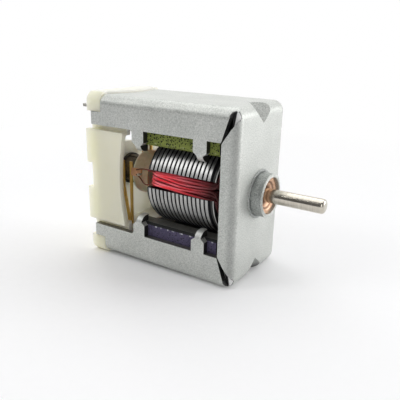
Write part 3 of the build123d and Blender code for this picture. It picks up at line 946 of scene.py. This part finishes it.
# Leads from the coils down to the risers: points of (x, out, aside) in a slot, in millimetres
lead_thickness = 0.2 * mm
upper_lead = (
    (-13.6, 5.9, -1.0),
    (-14.6, 5.85, -1.04),
    (-16.5, 4.72, -0.92),
    (-18.2, 3.85, -0.75),
    (-19.2, 3.72, -0.4),
)
lower_lead = (
    (-13.6, 5.9, 0.9),
    (-14.6, 5.7, 0.85),
    (-15.9, 4.75, 1.3),
    (-17.0, 4.2, 1.42),
    (-17.8, 3.85, 1.1),
    (-18.3, 3.74, 0.62),
    (-19.1, 3.72, 0.3),
)

# Solder on the risers: size of a drop, its place in a slot, its flattening and its unevenness
solder_size = 0.42 * mm
solder_spot = (-18.55, 3.62, 0.15)
solder_flattening = (1.0, 0.32, 1.25)
solder_unevenness = 0.12 * solder_size
solder_seed = 2

# Meshes: points this near are one, and flatter edges than this are smooth
merge_distance = 0.001 * mm
smooth_angle = math.radians(40)


def slot_place(pole, out, aside):
    """Y and Z of a point in the slot after a pole, out from the axis and aside towards that pole."""
    return pole_place(pole, *beside_pole(out * mm, aside * mm))


def add_leads():
    """Two leads down to each riser, one from the coil on either side of the slot."""
    material = lead_varnish()
    for pole in range(pole_count):
        routes = [
            [(x * mm, *slot_place(pole, out, aside)) for x, out, aside in route]
            for route in (upper_lead, lower_lead)
        ]
        leads = wire_piece(f"leads_{pole + 1}", routes, lead_thickness, material)
        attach(leads, "rotor")


def finish_piece(piece, material, body):
    """Place into the mesh, outward faces, smooth shading, finish and body of a modelled piece."""
    keep_only(piece)
    bpy.ops.object.transform_apply(location=True, rotation=True, scale=True)
    bpy.ops.object.mode_set(mode="EDIT")
    bpy.ops.mesh.select_all(action="SELECT")
    bpy.ops.mesh.remove_doubles(threshold=merge_distance)
    bpy.ops.mesh.normals_make_consistent(inside=False)
    bpy.ops.object.mode_set(mode="OBJECT")
    bpy.ops.object.shade_smooth_by_angle(angle=smooth_angle)
    piece.data.materials.append(material)
    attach(piece, body)


def add_solder():
    """A flattened, uneven drop of solder on each riser."""
    material = solder_tin()
    x, out, aside = solder_spot
    for pole in range(pole_count):
        bpy.ops.object.select_all(action="DESELECT")
        bpy.ops.mesh.primitive_uv_sphere_add(segments=20, ring_count=12, radius=solder_size)
        drop = bpy.context.object
        drop.name = f"solder_{pole + 1}"
        bpy.ops.object.mode_set(mode="EDIT")
        bpy.ops.transform.vertex_random(offset=solder_unevenness, seed=pole + solder_seed)
        bpy.ops.mesh.vertices_smooth(factor=0.5, repeat=2)
        bpy.ops.object.mode_set(mode="OBJECT")
        drop.scale = solder_flattening
        drop.rotation_euler = (rotor_clock + (pole * 2 + 1) * slot_half_angle - math.pi / 2, 0, 0)
        drop.location = (x * mm, *slot_place(pole, out, aside))
        finish_piece(drop, material, "rotor")


# Foot and burr of the drawn collar: profiles of (x, radius) in millimetres
foot_profile = (
    (-0.115, 3.085), (-0.115, 3.485), (0.13, 3.485), (0.2, 3.42), (0.2, 3.15), (0.12, 3.085)
)
foot_segments = 96
burr_profile = ((1.74, 2.60), (1.74, 2.90), (1.79, 2.88), (1.84, 2.72), (1.80, 2.62))
burr_segments = 120
burr_tear = 0.035 * mm
burr_seed = 4


def turned_ring(name, profile, segments):
    """A closed ring round the shaft axis: a circle extruded from corner to corner of a profile."""
    bpy.ops.object.select_all(action="DESELECT")
    x, radius = (value * mm for value in profile[0])
    bpy.ops.mesh.primitive_circle_add(
        vertices=segments, radius=radius, location=(x, 0, 0), rotation=(0, math.pi / 2, 0)
    )
    piece = bpy.context.object
    piece.name = name
    bpy.ops.object.transform_apply(location=True, rotation=True, scale=True)
    bpy.ops.object.mode_set(mode="EDIT")
    bpy.ops.mesh.select_all(action="SELECT")
    for next_x, next_radius in (*profile[1:], profile[0]):
        bpy.ops.mesh.extrude_region_move(TRANSFORM_OT_translate={"value": (next_x * mm - x, 0, 0)})
        growth = next_radius * mm / radius
        bpy.ops.transform.resize(value=(1, growth, growth), center_override=(0, 0, 0))
        x, radius = next_x * mm, next_radius * mm
    bpy.ops.mesh.select_all(action="SELECT")
    bpy.ops.mesh.remove_doubles(threshold=merge_distance)
    bpy.ops.object.mode_set(mode="OBJECT")
    return piece


def add_collar_trim():
    """The raised foot where the collar leaves the plate, and the torn burr round its mouth."""
    foot = turned_ring("collar_foot", foot_profile, foot_segments)
    finish_piece(foot, finishes["zinc_steel"], "stator")
    burr = turned_ring("collar_burr", burr_profile, burr_segments)
    bpy.ops.object.mode_set(mode="EDIT")
    bpy.ops.mesh.select_all(action="SELECT")
    bpy.ops.transform.vertex_random(offset=burr_tear, seed=burr_seed)
    bpy.ops.object.mode_set(mode="OBJECT")
    finish_piece(burr, finishes["zinc_steel"], "stator")


wind_coils()
add_leads()
add_solder()
add_collar_trim()


# The room: the way to its dim side, that side's level, and the share that lights what doesn't mirror it
dim_way = (0.35, -0.9, 0.25)
dim_level = 0.12
room_share = 0.6

# The floor: its width, where the frame's front edge rests on it, and where it fades to white, in metres
floor_width = 4
front_rest = -1.4 * mm
fade_start = 0.016
fade_end = 0.13

# Soft lights: name, place, point they face and width, in metres, and power in watts
softboxes = (
    ("overhead", (-0.02, 0.05, 0.30), (-0.012, 0, 0), 0.42, 0.72),
    ("far_right", (0.27, 0.20, 0.07), (-0.012, 0, 0), 0.20, 0.53),
    ("rear_glow", (-0.27, 0.16, 0.02), (-0.025, 0, 0), 0.06, 0.21),
    ("upper_left", (-0.20, -0.20, 0.24), (-0.010, -0.006, 0.003), 0.12, 0.22),
    ("near_right", (0.16, -0.24, 0.12), (-0.015, 0, 0), 0.20, 0.19),
)

# The camera: its angles round the point it looks at, its distance from that point, and its lens
camera_azimuth = math.radians(32.809)
camera_elevation = math.radians(18.12)
camera_roll = math.radians(1.498)
camera_target = Vector((-9.774, 0, -2.909)) * mm
camera_distance = 71.952 * mm
camera_sensor = 36
camera_lens = 42.73


def make_world():
    """A white sweep behind the part and a dim room on the camera's side."""
    world = bpy.data.worlds.new("studio")
    world.use_nodes = True
    bpy.context.scene.world = world
    tree = world.node_tree
    background = tree.nodes["Background"]
    background.inputs["Color"].default_value = (1, 1, 1, 1)
    toward = add(tree, "ShaderNodeVectorMath", operation="DOT_PRODUCT")
    link(tree, add(tree, "ShaderNodeTexCoord").outputs["Generated"], toward.inputs[0])
    toward.inputs[1].default_value = dim_way
    sweep = remap(tree, toward.outputs["Value"], -0.3, 0.5, 1.0, dim_level)
    path = add(tree, "ShaderNodeLightPath").outputs
    shown = calc(tree, "MAXIMUM", path["Is Glossy Ray"], path["Is Transmission Ray"])
    level = mix_values(tree, shown, calc(tree, "MULTIPLY", sweep, room_share), sweep)
    link(tree, calc(tree, "MAXIMUM", level, path["Is Camera Ray"]), background.inputs["Strength"])


def make_floor():
    """A pale floor that meets the cap's lip and the frame's front edge, and fades to white far off."""
    rest_rear = Vector((cap_low.x, 0, cap_low.z))
    rest_front = Vector((front_rest, 0, frame_low.z))
    slope = math.atan2(rest_front.z - rest_rear.z, rest_front.x - rest_rear.x)
    bpy.ops.mesh.primitive_plane_add(size=floor_width, location=rest_rear, rotation=(0, -slope, 0))
    floor = bpy.context.object
    floor.name = "floor"
    material, tree, shader = start_finish("floor_paper", roughness=0.9, specular_ior_level=0.1)
    paper = noise(tree, object_place(tree), 900, 2.0)
    feed(tree, shader, base_color=blend(tree, paper, (0.92, 0.92, 0.93), (0.945, 0.945, 0.955)))
    glow = add(tree, "ShaderNodeEmission")
    distance = add(tree, "ShaderNodeVectorMath", operation="LENGTH")
    link(tree, object_place(tree), distance.inputs[0])
    far = remap(tree, distance.outputs["Value"], fade_start, fade_end)
    seen = calc(tree, "MULTIPLY", far, add(tree, "ShaderNodeLightPath").outputs["Is Camera Ray"])
    both = add(tree, "ShaderNodeMixShader")
    link(tree, seen, both.inputs["Fac"])
    link(tree, shader.outputs[0], both.inputs[1])
    link(tree, glow.outputs[0], both.inputs[2])
    link(tree, both.outputs[0], tree.nodes["Material Output"].inputs["Surface"])
    floor.data.materials.append(material)


def add_softbox(name, place, aim, width, power):
    """A square soft light at a place, turned towards a point."""
    bpy.ops.object.light_add(type="AREA", location=place)
    light = bpy.context.object
    light.name = name
    light.data.size = width
    light.data.energy = power
    light.rotation_mode = "QUATERNION"
    light.rotation_quaternion = (Vector(aim) - Vector(place)).to_track_quat("-Z", "Y")


def add_camera():
    """The camera at the photograph's viewing angle."""
    back = Vector((
        math.sin(camera_azimuth) * math.cos(camera_elevation),
        -math.cos(camera_azimuth) * math.cos(camera_elevation),
        math.sin(camera_elevation),
    ))
    right = Vector((math.cos(camera_azimuth), math.sin(camera_azimuth), 0))
    up = back.cross(right)
    tilted_right = right * math.cos(camera_roll) + up * math.sin(camera_roll)
    tilted_up = up * math.cos(camera_roll) - right * math.sin(camera_roll)
    turn = Matrix((tilted_right, tilted_up, back)).transposed()
    bpy.ops.object.camera_add()
    camera = bpy.context.object
    camera.matrix_world = Matrix.Translation(camera_target + back * camera_distance) @ turn.to_4x4()
    camera.data.sensor_width = camera_sensor
    camera.data.lens = camera_lens
    camera.data.clip_start = 0.001
    camera.data.clip_end = 50
    bpy.context.scene.camera = camera


# Stage, light and camera
make_world()
make_floor()
for softbox in softboxes:
    add_softbox(*softbox)
add_camera()
bpy.context.scene.view_settings.view_transform = "Standard"
